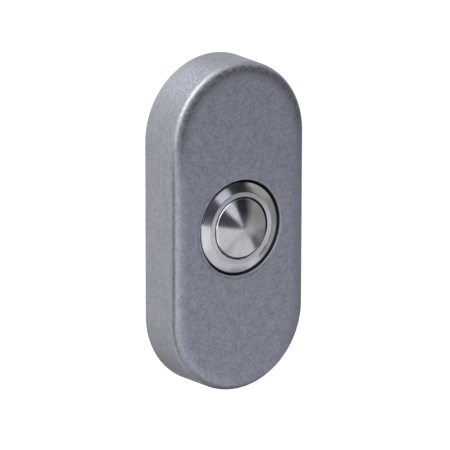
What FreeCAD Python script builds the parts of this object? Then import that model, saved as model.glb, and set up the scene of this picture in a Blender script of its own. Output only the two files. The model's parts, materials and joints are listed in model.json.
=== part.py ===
import FreeCAD, Part
import math
import os

# Surface-mounted doorbell button: an oblong cast housing with a sunk metal push button.
# Frame: +Z up, +X right, the wall is the plane Y = 0 and the face looks along -Y.
# The origin is the centre of the back, on the axis of the push button. A depth is a
# distance from the wall towards the front, so depth = -Y. Lengths are in millimetres.

Vector = FreeCAD.Vector
ORIGIN = Vector(0, 0, 0)
FRONT = Vector(0, -1, 0)
UP = Vector(0, 0, 1)
DOWN = Vector(0, 0, -1)
SIDES = {"left": -1, "right": 1}
TOUCH = 1e-4
OVERRUN = 1.0

# Housing
housing_width = 38.0
housing_height = 80.0
housing_depth = 12.0
side_draft_deg = 1.4
side_wall = 2.6
front_wall = 2.6
front_round = 1.9
back_edge_round = 0.25
cavity_round = 0.8

# Counterbore and hole for the push button
counterbore_gap = 0.4
counterbore_depth = 1.6
counterbore_lip_round = 0.28
seat_thickness = 1.5
seat_rim_width = 1.0
hole_clearance = 0.1

# Ribs inside the housing, which rest on the base plate
rib_height = 19.0
rib_width = 1.4
rib_reach = 1.6

# Bezel: flange and threaded barrel in one piece
flange_radius = 11.1
flange_rim_thickness = 0.63
flange_edge_round = 0.5
bevel_rise = 0.76
land_radius = 8.8
lip_thickness = 1.0
lip_edge_round = 0.12
barrel_radius = 9.5
barrel_tail = 0.58
barrel_chamfer = 0.35
relief_depth = 0.45
relief_width = 0.8
shoulder_bore_radius = 8.0
cup_bore_radius = 8.2

# Seal, lock washer and lock nut
seal_thickness = 0.4
seal_clearance = 0.2
washer_thickness = 0.6
washer_radius = 11.8
washer_ring_width = 1.1
washer_teeth = 12
washer_tooth_deg = 15.0
nut_width = 22.0
nut_thickness = 2.2
nut_face_inset = 0.3
nut_chamfer_deg = 20.0
thread_clearance = 0.05

# Push cap
cap_radius = 7.25
cap_gap = 0.2
cap_rise = 0.3
cap_rim_round = 0.5
cone_rise = 1.5
cone_tip_radius = 0.15
cap_front_thickness = 1.0
cap_pocket_radius = 6.4
shoulder_radius = 7.85
shoulder_thickness = 1.29
stop_gap = 0.05
travel = 1.2

# Round-section ring in the groove of the cap
ring_section_radius = 0.32
ring_bore_gap = 0.06
ring_groove_width = 0.75
ring_groove_gap = 0.02
ring_groove_inset = 0.25

# Plunger
plunger_fit = 0.15
plunger_disc_thickness = 1.2
carrier_width = 1.35
carrier_length = 2.2
stem_radius = 1.3
stem_clearance = 0.08
stem_tail = 0.2
stem_chamfer = 0.25
spring_seat_depth = 0.3
relief_for_bridge = 0.5
relief_span = 5.0
key_width = 1.4
key_length = 1.1
key_reach = 0.35
key_clearance = 0.1

# Contact bridge and the two pegs that hold it
bridge_thickness = 0.3
bridge_inset = 0.05
bridge_ring_width = 1.9
contact_spacing = 10.0
dimple_radius = 0.75
dimple_height = 0.32
peg_spacing = 10.6
peg_radius = 0.4
peg_clearance = 0.05
peg_head_radius = 0.7
peg_head_height = 0.3

# Clip on the stem
clip_radius = 2.3
clip_thickness = 0.4
clip_groove_radius = 0.95
clip_clearance = 0.02
clip_notch_radius = 0.4
clip_notch_angles = (60.0, 120.0)

# Return spring
spring_radius = 2.95
spring_wire_radius = 0.22
spring_wire_sides = 8
spring_turns = 5
spring_seat_margin = 0.25
spring_end_gap = 0.02

# Moulded cup in the barrel
cup_fit = 0.05
cup_wall = 0.95
cup_floor_thickness = 2.35
cup_spigot_length = 1.7
cup_spigot_radius = 7.3
cup_seat_depth = 0.65
barrier_width = 0.8
barrier_height = 1.0
barrier_start = 2.9
barrier_inset = 0.4

# Snap ring behind the cup
snap_thickness = 0.6
snap_radius = 8.8
snap_ring_width = 1.15
snap_gap_deg = 30.0
snap_clearance = 0.05

# Fixed contacts, folded from strip
strip_thickness = 0.5
strip_width = 3.2
strip_bend = 0.15
strip_outer = 6.75
strip_pad_inner = 3.9
strip_tail_inner = 3.0
strip_clearance = 0.05
rivet_radius = 0.9
rivet_height = 0.3
contact_end_gap = 0.03

# Terminal screws and clamp washers
terminal_spacing = 9.6
terminal_radius = 1.0
terminal_length = 2.2
terminal_head_radius = 1.7
terminal_head_height = 1.3
terminal_head_round = 0.45
terminal_slot_width = 0.45
terminal_slot_depth = 0.6
terminal_clearance = 0.03
terminal_hole_extra = 0.2
clamp_thickness = 0.4
clamp_radius = 1.9
clamp_clearance = 0.1

# Base plate
plate_thickness = 1.2
plate_gap = 0.3
plate_opening_radius = 12.0
cable_notch_width = 9.6
cable_notch_reach = 19.8
wall_hole_spacing = 52.0
wall_hole_radius = 2.1
lug_width = 8.0
tab_gap = 1.4
tab_bend = 0.4
tab_relief = 0.4
hook_width = 6.0
hook_end_gap = 0.3
hook_clearance = 0.2
ledge_start = 1.5
ledge_thickness = 1.4
ledge_width = 9.0
lug_margin = 2.2
lug_corner_round = 1.5

# Screw in the underside
screw_depth = 4.4
screw_radius = 1.5
screw_length = 5.0
screw_recess = 0.3
screw_clearance = 0.03
screw_point_radius = 1.05
screw_point_length = 1.6
screw_point_clearance = 0.1
screw_socket_width = 1.5
screw_socket_depth = 1.6
screw_boss_wall = 1.7

# Places that follow from the sizes: housing
draft = math.tan(math.radians(side_draft_deg))
end_radius = housing_width / 2
end_offset = housing_height / 2 - end_radius
cavity_radius = end_radius - side_wall
cavity_front = housing_depth - front_wall
cavity_end = end_offset + cavity_radius
counterbore_radius = flange_radius + counterbore_gap
counterbore_floor = housing_depth - counterbore_depth
seat_depth = counterbore_floor - seat_thickness
seat_radius = washer_radius + seat_rim_width
hole_radius = barrel_radius + hole_clearance

# Places that follow from the sizes: push button, from the front to the back
flange_back = counterbore_floor + seal_thickness
flange_rim = flange_back + flange_rim_thickness
land_depth = flange_rim + bevel_rise
lip_radius = cap_radius + cap_gap
lip_back = land_depth - lip_thickness
cap_rim = housing_depth + cap_rise
cone_apex = cap_rim + cone_rise
pocket_front = cap_rim - cap_front_thickness
shoulder_front = lip_back - stop_gap
shoulder_back = shoulder_front - shoulder_thickness
bore_step = shoulder_back - travel - stop_gap
ring_groove_front = shoulder_front - ring_groove_inset
ring_groove_back = ring_groove_front - ring_groove_width
ring_centre_radius = shoulder_bore_radius - ring_bore_gap - ring_section_radius
ring_groove_radius = ring_centre_radius - ring_section_radius - ring_groove_gap
plunger_radius = cap_pocket_radius - plunger_fit
plunger_back = pocket_front - plunger_disc_thickness
carrier_back = plunger_back - carrier_length
bridge_back = carrier_back - bridge_thickness
dimple_back = bridge_back - dimple_height
rivet_front = dimple_back - travel - contact_end_gap
strip_front = rivet_front - rivet_height
floor_front = strip_front - strip_thickness
cup_back = floor_front - cup_floor_thickness
snap_front = cup_back + cup_spigot_length
snap_back = snap_front - snap_thickness
barrel_back = snap_back - snap_clearance - barrel_tail
cup_radius = cup_bore_radius - cup_fit
cup_inner_radius = cup_radius - cup_wall
strip_back = cup_back - strip_thickness
clamp_back = strip_back - clamp_thickness
clip_back = cup_back - clip_thickness
stem_back = clip_back - stem_tail
washer_back = seat_depth - washer_thickness
nut_back = washer_back - nut_thickness
spring_seat_inner = spring_radius - spring_wire_radius - spring_seat_margin
spring_seat_outer = spring_radius + spring_wire_radius + spring_seat_margin

# Places that follow from the sizes: base plate and its screw
tab_outer = cavity_end - tab_gap
tab_inner = tab_outer - plate_thickness
hook_back = ledge_start + ledge_thickness + hook_clearance
hook_front = hook_back + plate_thickness
hook_wall = math.sqrt((cavity_radius - hook_front * draft) ** 2 - (hook_width / 2) ** 2)
hook_tip = end_offset + hook_wall - hook_end_gap
boss_end = tab_outer + hook_clearance


def at(radius, depth):
    """Point of a turned profile: its distance from the button's axis and its depth."""
    return Vector(radius, -depth, 0)


def side(height, depth):
    """Point of a folded profile: its height and its depth."""
    return Vector(0, -depth, height)


def face_from(path):
    """Flat face inside a path of points. A pair (through, end) in the path is an arc."""
    edges = []
    here = path[0]
    for step in list(path[1:]) + [path[0]]:
        if isinstance(step, tuple):
            edges.append(Part.Arc(here, step[0], step[1]).toShape())
            here = step[1]
        else:
            edges.append(Part.LineSegment(here, step).toShape())
            here = step
    return Part.Face(Part.Wire(edges))


def bend(point, centre, radius, start_deg, end_deg):
    """Arc step for a path, round a centre given as the two numbers that point() takes."""
    def place(angle):
        turn = math.radians(angle)
        return point(centre[0] + radius * math.cos(turn), centre[1] + radius * math.sin(turn))

    return place((start_deg + end_deg) / 2), place(end_deg)


def turned(path):
    """Solid turned from a profile about the button's axis."""
    return face_from(path).revolve(ORIGIN, FRONT, 360)


def disc(radius, back, front, x=0.0, z=0.0):
    """Cylinder along the depth, from one depth to another."""
    return Part.makeCylinder(radius, front - back, Vector(x, -back, z), FRONT)


def tube(inner, outer, back, front):
    """Ring along the depth with a straight bore."""
    return disc(outer, back, front).cut(disc(inner, back - OVERRUN, front + OVERRUN))


def block(x_range, z_range, depths):
    """Box between two places along X, two along Z and two depths."""
    corner = Vector(x_range[0], -depths[1], z_range[0])
    return Part.makeBox(
        x_range[1] - x_range[0], depths[1] - depths[0], z_range[1] - z_range[0], corner
    )


def oblong(back_radius, back, front):
    """Solid with round ends that narrows towards the front by the side draft."""
    front_radius = back_radius - (front - back) * draft
    profile = face_from(
        [
            Vector(-back_radius, -back, -end_offset),
            Vector(back_radius, -back, -end_offset),
            Vector(front_radius, -front, -end_offset),
            Vector(-front_radius, -front, -end_offset),
        ]
    )
    solid = profile.extrude(UP * (2 * end_offset))
    for height in (-end_offset, end_offset):
        centre = Vector(0, -back, height)
        solid = solid.fuse(Part.makeCone(back_radius, front_radius, front - back, centre, FRONT))
    return solid.removeSplitter()


def edges_at(solid, depth):
    """Edges that lie flat at one depth."""
    return [
        edge
        for edge in solid.Edges
        if abs(edge.BoundBox.YMin + depth) < TOUCH and abs(edge.BoundBox.YMax + depth) < TOUCH
    ]


def circles_at(solid, radius, depth):
    """Circular edges of one radius at one depth."""
    return [
        edge
        for edge in edges_at(solid, depth)
        if isinstance(edge.Curve, Part.Circle) and abs(edge.Curve.Radius - radius) < TOUCH
    ]


def housing_shell():
    """Drafted outer form with its rounded front edge, hollowed from the back."""
    solid = oblong(end_radius, 0, housing_depth)
    solid = solid.makeFillet(front_round, edges_at(solid, housing_depth))
    solid = solid.makeFillet(back_edge_round, edges_at(solid, 0))
    cavity = oblong(cavity_radius + OVERRUN * draft, -OVERRUN, cavity_front)
    cavity = cavity.makeFillet(cavity_round, edges_at(cavity, cavity_front))
    return solid.cut(cavity)


def housing_ribs():
    """Four ribs on the long walls that end on the base plate."""
    inner = cavity_radius - rib_reach
    outer = cavity_radius + side_wall / 3
    depths = (plate_thickness, cavity_front + front_wall / 3)
    ribs = []
    for x in (-1, 1):
        for z in (-1, 1):
            middle = z * rib_height
            span = sorted((x * inner, x * outer))
            ribs.append(block(span, (middle - rib_width / 2, middle + rib_width / 2), depths))
    return ribs


def hook_ledge():
    """Ledge under the top wall, behind which the hook of the base plate grips."""
    return block(
        (-ledge_width / 2, ledge_width / 2),
        (boss_end, cavity_end + side_wall / 3),
        (ledge_start, ledge_start + ledge_thickness),
    )


def screw_boss():
    """Thickening of the bottom wall round the fixing screw."""
    length = cavity_end + side_wall / 3 - boss_end
    return Part.makeCylinder(
        screw_radius + screw_boss_wall, length, Vector(0, -screw_depth, -boss_end), DOWN
    )


def cover():
    """Housing with the counterbore and the hole for the push button."""
    solid = housing_shell()
    root = cavity_front + front_wall / 3
    additions = [disc(seat_radius, seat_depth, root), hook_ledge(), screw_boss()]
    solid = solid.fuse(additions + housing_ribs())
    solid = solid.cut(disc(counterbore_radius, counterbore_floor, housing_depth + OVERRUN))
    solid = solid.cut(disc(hole_radius, seat_depth - OVERRUN, housing_depth))
    screw_hole = Part.makeCylinder(
        screw_radius + screw_clearance,
        housing_height / 2,
        Vector(0, -screw_depth, -boss_end + OVERRUN),
        DOWN,
    )
    solid = solid.cut(screw_hole).removeSplitter()
    lip = circles_at(solid, counterbore_radius, housing_depth)
    return solid.makeFillet(counterbore_lip_round, lip)


def bezel():
    """Turned ring: flat land, bevel, rim, barrel, and the stepped bore for cap and cup."""
    relief = barrel_radius - relief_depth
    relief_back = flange_back - relief_width
    groove = snap_radius + snap_clearance
    solid = turned(
        [
            at(lip_radius, land_depth),
            at(land_radius, land_depth),
            at(flange_radius, flange_rim),
            at(flange_radius, flange_back),
            at(relief, flange_back),
            at(relief, relief_back),
            at(barrel_radius, relief_back - relief_depth),
            at(barrel_radius, barrel_back + barrel_chamfer),
            at(barrel_radius - barrel_chamfer, barrel_back),
            at(cup_bore_radius, barrel_back),
            at(cup_bore_radius, snap_back - snap_clearance),
            at(groove, snap_back - snap_clearance),
            at(groove, snap_front),
            at(cup_bore_radius, snap_front),
            at(cup_bore_radius, bore_step),
            at(shoulder_bore_radius, bore_step),
            at(shoulder_bore_radius, lip_back),
            at(lip_radius, lip_back),
        ]
    )
    solid = solid.makeFillet(lip_edge_round, circles_at(solid, lip_radius, land_depth))
    return solid.makeFillet(flange_edge_round, circles_at(solid, flange_radius, flange_rim))


def flange_seal():
    """Flat ring between the flange and the floor of the counterbore."""
    inner = barrel_radius + seal_clearance
    return tube(inner, flange_radius - seal_clearance, counterbore_floor, flange_back)


def lock_washer():
    """Toothed washer: an outer ring with teeth that reach in to the thread."""
    ring_inner = washer_radius - washer_ring_width
    tooth_inner = barrel_radius + thread_clearance
    solid = tube(ring_inner, washer_radius, washer_back, seat_depth)
    tooth = face_from(
        [
            at(tooth_inner, washer_back),
            at(ring_inner + washer_ring_width / 2, washer_back),
            at(ring_inner + washer_ring_width / 2, seat_depth),
            at(tooth_inner, seat_depth),
        ]
    ).revolve(ORIGIN, FRONT, washer_tooth_deg)
    teeth = []
    for index in range(washer_teeth):
        copy = tooth.copy()
        copy.rotate(ORIGIN, FRONT, index * 360 / washer_teeth)
        teeth.append(copy)
    return solid.fuse(teeth).removeSplitter()


def hexagon(width, back, front):
    """Hexagonal prism along the depth, given by its width across the flats."""
    corner = width / 2 / math.cos(math.radians(30))
    points = [
        Vector(corner * math.cos(math.radians(60 * i)), -back, corner * math.sin(math.radians(60 * i)))
        for i in range(7)
    ]
    return Part.Face(Part.makePolygon(points)).extrude(FRONT * (front - back))


def lock_nut():
    """Thin hexagon nut with both faces chamfered at the corners."""
    corner = nut_width / 2 / math.cos(math.radians(30)) + nut_face_inset
    face_radius = nut_width / 2 - nut_face_inset
    slope = (corner - face_radius) * math.tan(math.radians(nut_chamfer_deg))
    bore = barrel_radius + thread_clearance
    blank = turned(
        [
            at(bore, nut_back),
            at(face_radius, nut_back),
            at(corner, nut_back + slope),
            at(corner, washer_back - slope),
            at(face_radius, washer_back),
            at(bore, washer_back),
        ]
    )
    return blank.common(hexagon(nut_width, nut_back, washer_back))


def push_cap():
    """Turned cap: cone, rounded rim, shoulder with a ring groove, pocket for the plunger."""
    slope = cone_rise / cap_radius
    solid = turned(
        [
            at(0, pocket_front),
            at(0, cone_apex - cone_tip_radius * slope),
            at(cone_tip_radius, cone_apex - cone_tip_radius * slope),
            at(cap_radius, cap_rim),
            at(cap_radius, shoulder_front),
            at(shoulder_radius, shoulder_front),
            at(shoulder_radius, ring_groove_front),
            at(ring_groove_radius, ring_groove_front),
            at(ring_groove_radius, ring_groove_back),
            at(shoulder_radius, ring_groove_back),
            at(shoulder_radius, shoulder_back),
            at(cap_pocket_radius, shoulder_back),
            at(cap_pocket_radius, pocket_front),
        ]
    )
    return solid.makeFillet(cap_rim_round, circles_at(solid, cap_radius, cap_rim))


def cap_seal():
    """Round-section ring in the groove of the cap."""
    centre = at(0, (ring_groove_front + ring_groove_back) / 2)
    return Part.makeTorus(ring_centre_radius, ring_section_radius, centre, FRONT)


def plunger_pegs():
    """Two pegs through the bridge with formed heads behind it."""
    pegs = []
    for z in (-peg_spacing / 2, peg_spacing / 2):
        pegs.append(disc(peg_radius, bridge_back - peg_head_height / 2, carrier_back + OVERRUN, 0, z))
        head = disc(peg_head_radius, bridge_back - peg_head_height, bridge_back, 0, z)
        rim = edges_at(head, bridge_back - peg_head_height)
        pegs.append(head.makeFillet(peg_head_height / 2, rim))
    return pegs


def plunger_keys():
    """Two keys that run in the slots of the cup and stop the plunger from turning."""
    inner = plunger_radius - carrier_width / 2
    outer = cup_inner_radius + key_reach
    keys = []
    for z in (-1, 1):
        span = sorted((z * inner, z * outer))
        depths = (carrier_back, carrier_back + key_length)
        keys.append(block((-key_width / 2, key_width / 2), span, depths))
    return keys


def plunger():
    """Moulded disc with the ring that carries the bridge, and the grooved stem."""
    carrier_inner = plunger_radius - carrier_width
    seat = plunger_back + spring_seat_depth
    solid = turned(
        [
            at(0, stem_back),
            at(stem_radius - stem_chamfer, stem_back),
            at(stem_radius, clip_back),
            at(clip_groove_radius, clip_back),
            at(clip_groove_radius, cup_back),
            at(stem_radius, cup_back),
            at(stem_radius, plunger_back),
            at(spring_seat_inner, plunger_back),
            at(spring_seat_inner, seat),
            at(spring_seat_outer, seat),
            at(spring_seat_outer, plunger_back),
            at(carrier_inner, plunger_back),
            at(carrier_inner, carrier_back),
            at(plunger_radius, carrier_back),
            at(plunger_radius, pocket_front),
            at(0, pocket_front),
        ]
    )
    relief = block(
        (-plunger_radius - OVERRUN, plunger_radius + OVERRUN),
        (-relief_span / 2, relief_span / 2),
        (carrier_back - OVERRUN, carrier_back + relief_for_bridge),
    ).cut(disc(carrier_inner, carrier_back - 2 * OVERRUN, pocket_front))
    return solid.cut(relief).fuse(plunger_keys() + plunger_pegs()).removeSplitter()


def contact_bridge():
    """Sprung ring with a pressed dimple over each fixed contact."""
    outer = plunger_radius - bridge_inset
    solid = tube(outer - bridge_ring_width, outer, bridge_back, carrier_back)
    for z in (-peg_spacing / 2, peg_spacing / 2):
        hole = disc(peg_radius + peg_clearance, bridge_back - OVERRUN, carrier_back + OVERRUN, 0, z)
        solid = solid.cut(hole)
    outer_sphere = (dimple_radius**2 + dimple_height**2) / (2 * dimple_height)
    for x in (-contact_spacing / 2, contact_spacing / 2):
        centre = Vector(x, -(dimple_back + outer_sphere), 0)
        cap = Part.makeSphere(outer_sphere, centre)
        cap = cap.common(disc(outer_sphere, dimple_back - OVERRUN, bridge_back + bridge_thickness / 2, x))
        solid = solid.fuse(cap)
        solid = solid.cut(Part.makeSphere(outer_sphere - bridge_thickness, centre))
    return solid.removeSplitter()


def stem_clip():
    """Slotted clip in the groove of the stem, with an open mouth and two notches."""
    bore = clip_groove_radius + clip_clearance
    solid = tube(bore, clip_radius, clip_back, cup_back)
    mouth = block((-bore, bore), (-clip_radius - OVERRUN, 0), (clip_back - OVERRUN, cup_back + OVERRUN))
    solid = solid.cut(mouth)
    for angle in clip_notch_angles:
        turn = math.radians(angle)
        notch_at = (bore * math.cos(turn), bore * math.sin(turn))
        notch = disc(clip_notch_radius, clip_back - OVERRUN, cup_back + OVERRUN, *notch_at)
        solid = solid.cut(notch)
    return solid


def return_spring():
    """Compression spring between the floor of the cup and the plunger."""
    start = floor_front - cup_seat_depth + spring_wire_radius + spring_end_gap
    end = plunger_back + spring_seat_depth - spring_wire_radius - spring_end_gap
    length = end - start
    helix = Part.makeHelix(length / spring_turns, length, spring_radius)
    section = []
    for corner in range(spring_wire_sides + 1):
        turn = 2 * math.pi * corner / spring_wire_sides
        radius = spring_radius + spring_wire_radius * math.cos(turn)
        section.append(Vector(radius, 0, spring_wire_radius * math.sin(turn)))
    solid = helix.makePipeShell([Part.makePolygon(section)], True, True)
    solid.rotate(ORIGIN, Vector(1, 0, 0), 90)
    solid.translate(Vector(0, -start, 0))
    return solid


def cup_slots(x):
    """Cuts in the cup for one fixed contact and its terminal screw."""
    leg_inner = strip_outer - strip_thickness - strip_bend - strip_clearance
    span = sorted((x * leg_inner, x * (strip_outer + strip_clearance)))
    half = strip_width / 2 + strip_clearance
    leg = block(span, (-half, half), (cup_back - OVERRUN, floor_front + OVERRUN))
    hole_front = clamp_back + terminal_length + terminal_hole_extra
    hole = disc(
        terminal_radius + terminal_clearance, cup_back - OVERRUN, hole_front, x * terminal_spacing / 2
    )
    return [leg, hole]


def switch_housing():
    """Moulded cup: side wall with key slots, floor, spigot, and barriers on its back."""
    seat = floor_front - cup_seat_depth
    solid = turned(
        [
            at(stem_radius + stem_clearance, cup_back),
            at(cup_spigot_radius, cup_back),
            at(cup_spigot_radius, snap_front),
            at(cup_radius, snap_front),
            at(cup_radius, bore_step),
            at(cup_inner_radius, bore_step),
            at(cup_inner_radius, floor_front),
            at(spring_seat_outer, floor_front),
            at(spring_seat_outer, seat),
            at(spring_seat_inner, seat),
            at(spring_seat_inner, floor_front),
            at(stem_radius + stem_clearance, floor_front),
        ]
    )
    barriers = []
    for z in (-1, 1):
        span = sorted((z * barrier_start, z * (cup_spigot_radius - barrier_inset)))
        depths = (cup_back - barrier_height, cup_back + barrier_height / 2)
        barriers.append(block((-barrier_width / 2, barrier_width / 2), span, depths))
        slot_outer = cup_inner_radius + key_reach + key_clearance
        slot_span = sorted((z * (cup_inner_radius - key_reach), z * slot_outer))
        slot_half = key_width / 2 + key_clearance
        slot_depths = (carrier_back - travel - key_reach, bore_step + OVERRUN)
        solid = solid.cut(block((-slot_half, slot_half), slot_span, slot_depths))
    for x in SIDES.values():
        solid = solid.cut(cup_slots(x))
    return solid.fuse(barriers).removeSplitter()


def retaining_ring():
    """Open snap ring in the groove of the barrel, behind the cup."""
    profile = face_from(
        [
            at(snap_radius - snap_ring_width, snap_back),
            at(snap_radius, snap_back),
            at(snap_radius, snap_front),
            at(snap_radius - snap_ring_width, snap_front),
        ]
    )
    solid = profile.revolve(ORIGIN, FRONT, 360 - snap_gap_deg)
    solid.rotate(ORIGIN, FRONT, 90 + snap_gap_deg / 2)
    return solid


def fixed_contact(x):
    """Strip folded round the floor of the cup: pad inside, leg, and tail for the screw."""
    outer_bend = strip_bend + strip_thickness
    leg_inner = strip_outer - strip_thickness
    corner = leg_inner - strip_bend
    upper = floor_front - strip_bend
    lower = cup_back + strip_bend
    profile = face_from(
        [
            at(strip_pad_inner, strip_front),
            at(corner, strip_front),
            bend(at, (corner, upper), outer_bend, 90, 0),
            at(strip_outer, lower),
            bend(at, (corner, lower), outer_bend, 0, -90),
            at(strip_tail_inner, strip_back),
            at(strip_tail_inner, cup_back),
            at(corner, cup_back),
            bend(at, (corner, lower), strip_bend, -90, 0),
            at(leg_inner, upper),
            bend(at, (corner, upper), strip_bend, 0, 90),
            at(strip_pad_inner, floor_front),
        ]
    )
    profile.translate(DOWN * (strip_width / 2))
    solid = profile.extrude(UP * strip_width)
    rivet = disc(rivet_radius, strip_front - strip_thickness / 2, rivet_front, contact_spacing / 2)
    rivet = rivet.makeFillet(rivet_height / 2, edges_at(rivet, rivet_front))
    hole = disc(
        terminal_radius + terminal_clearance,
        strip_back - OVERRUN,
        cup_back + strip_thickness / 2,
        terminal_spacing / 2,
    )
    solid = solid.fuse(rivet).cut(hole).removeSplitter()
    if x < 0:
        solid.rotate(ORIGIN, FRONT, 180)
    return solid


def clamp_washer(x):
    """Round washer that clamps the bell wire on the tail of the contact."""
    place = x * terminal_spacing / 2
    solid = disc(clamp_radius, clamp_back, strip_back, place)
    return solid.cut(
        disc(terminal_radius + clamp_clearance, clamp_back - OVERRUN, strip_back + OVERRUN, place)
    )


def terminal_screw(x):
    """Slotted screw with a rounded cheese head."""
    place = x * terminal_spacing / 2
    head_back = clamp_back - terminal_head_height
    head = disc(terminal_head_radius, head_back, clamp_back, place)
    head = head.makeFillet(terminal_head_round, edges_at(head, head_back))
    slot_half = terminal_slot_width / 2
    slot = block(
        (place - slot_half, place + slot_half),
        (-terminal_head_radius - OVERRUN, terminal_head_radius + OVERRUN),
        (head_back - OVERRUN, head_back + terminal_slot_depth),
    )
    shank = disc(terminal_radius, clamp_back, clamp_back + terminal_length, place)
    return head.cut(slot).fuse(shank).removeSplitter()


def plate_sheet():
    """Flat sheet with round ends, cut square where the tabs start."""
    radius = cavity_radius - plate_gap
    sheet = disc(radius, 0, plate_thickness, 0, end_offset)
    sheet = sheet.fuse(disc(radius, 0, plate_thickness, 0, -end_offset))
    sheet = sheet.fuse(block((-radius, radius), (-end_offset, end_offset), (0, plate_thickness)))
    reach = tab_inner - tab_bend - tab_relief
    return sheet.common(block((-radius, radius), (-reach, reach), (0, plate_thickness)))


def tab_foot():
    """Start of both tabs: the outer and the inner side of the fold, for a path."""
    centre = (tab_inner - tab_bend, plate_thickness + tab_bend)
    root = tab_inner - tab_bend - 2 * tab_relief
    outer = [side(root, 0), side(centre[0], 0)]
    outer.append(bend(side, centre, tab_bend + plate_thickness, -90, 0))
    inner = [side(tab_inner, centre[1]), bend(side, centre, tab_bend, 0, -90)]
    inner.append(side(root, plate_thickness))
    return outer, inner


def folded(path, width):
    """Tab of one width from its side profile."""
    profile = face_from(path)
    profile.translate(Vector(-width / 2, 0, 0))
    return profile.extrude(Vector(width, 0, 0))


def plate_hook():
    """Tab at the top, folded forwards and then out over the ledge of the cover."""
    outer, inner = tab_foot()
    centre = (tab_outer + tab_bend, hook_back - tab_bend)
    fold = [
        side(tab_outer, centre[1]),
        bend(side, centre, tab_bend, 180, 90),
        side(hook_tip, hook_back),
        side(hook_tip, hook_front),
        side(centre[0], hook_front),
        bend(side, centre, tab_bend + plate_thickness, 90, 180),
    ]
    return folded(outer + fold + inner, hook_width)


def plate_lug():
    """Tab at the bottom with the hole for the point of the fixing screw."""
    outer, inner = tab_foot()
    end = screw_depth + lug_margin
    lug = folded(outer + [side(tab_outer, end), side(tab_inner, end)] + inner, lug_width)
    corners = [
        edge
        for edge in lug.Edges
        if abs(edge.BoundBox.YMin + end) < TOUCH
        and edge.BoundBox.XLength < TOUCH
        and edge.BoundBox.YLength < TOUCH
    ]
    lug = lug.makeFillet(lug_corner_round, corners)
    point_hole = Part.makeCylinder(
        screw_point_radius + screw_point_clearance,
        plate_thickness + 2 * OVERRUN,
        side(tab_inner - OVERRUN, screw_depth),
        UP,
    )
    return lug.cut(point_hole).mirror(ORIGIN, UP)


def base_plate():
    """Pressed plate with the wiring opening, two wall holes, hook and lug."""
    solid = plate_sheet().fuse([plate_hook(), plate_lug()])
    through = (-OVERRUN, plate_thickness + OVERRUN)
    half = cable_notch_width / 2
    solid = solid.cut(disc(plate_opening_radius, *through))
    solid = solid.cut(block((-half, half), (-cable_notch_reach + half, 0), through))
    solid = solid.cut(disc(half, *through, 0, -cable_notch_reach + half))
    for z in (-wall_hole_spacing / 2, wall_hole_spacing / 2):
        solid = solid.cut(disc(wall_hole_radius, *through, 0, z))
    return solid.removeSplitter()


def cover_screw():
    """Grub screw with a plain point and a hexagon socket, upright in the bottom wall."""
    outer_end = housing_height / 2 - screw_depth * draft - screw_recess
    start = side(-outer_end, screw_depth)
    thread = Part.makeCylinder(screw_radius, screw_length - screw_point_length, start, UP)
    point = Part.makeCylinder(screw_point_radius, screw_length, start, UP)
    socket = hexagon(screw_socket_width, -OVERRUN, screw_socket_depth)
    socket.rotate(ORIGIN, Vector(1, 0, 0), -90)
    socket.translate(start)
    return thread.fuse(point).cut(socket).removeSplitter()


def nodes():
    """Every piece by its name."""
    pieces = {
        "cover": cover(),
        "base_plate": base_plate(),
        "cover_screw": cover_screw(),
        "bezel": bezel(),
        "flange_seal": flange_seal(),
        "lock_washer": lock_washer(),
        "lock_nut": lock_nut(),
        "push_cap": push_cap(),
        "cap_seal": cap_seal(),
        "plunger": plunger(),
        "return_spring": return_spring(),
        "contact_bridge": contact_bridge(),
        "stem_clip": stem_clip(),
        "switch_housing": switch_housing(),
        "retaining_ring": retaining_ring(),
    }
    for name, x in SIDES.items():
        pieces["fixed_contact_" + name] = fixed_contact(x)
        pieces["clamp_washer_" + name] = clamp_washer(x)
        pieces["terminal_screw_" + name] = terminal_screw(x)
    return pieces


os.makedirs("parts", exist_ok=True)
for node, shape in nodes().items():
    shape.exportStep("parts/" + node + ".step")
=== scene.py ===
import json
import math

import bmesh
import bpy
from bpy.props import FloatProperty, FloatVectorProperty, IntProperty, PointerProperty
from mathutils import Matrix, Vector


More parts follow.
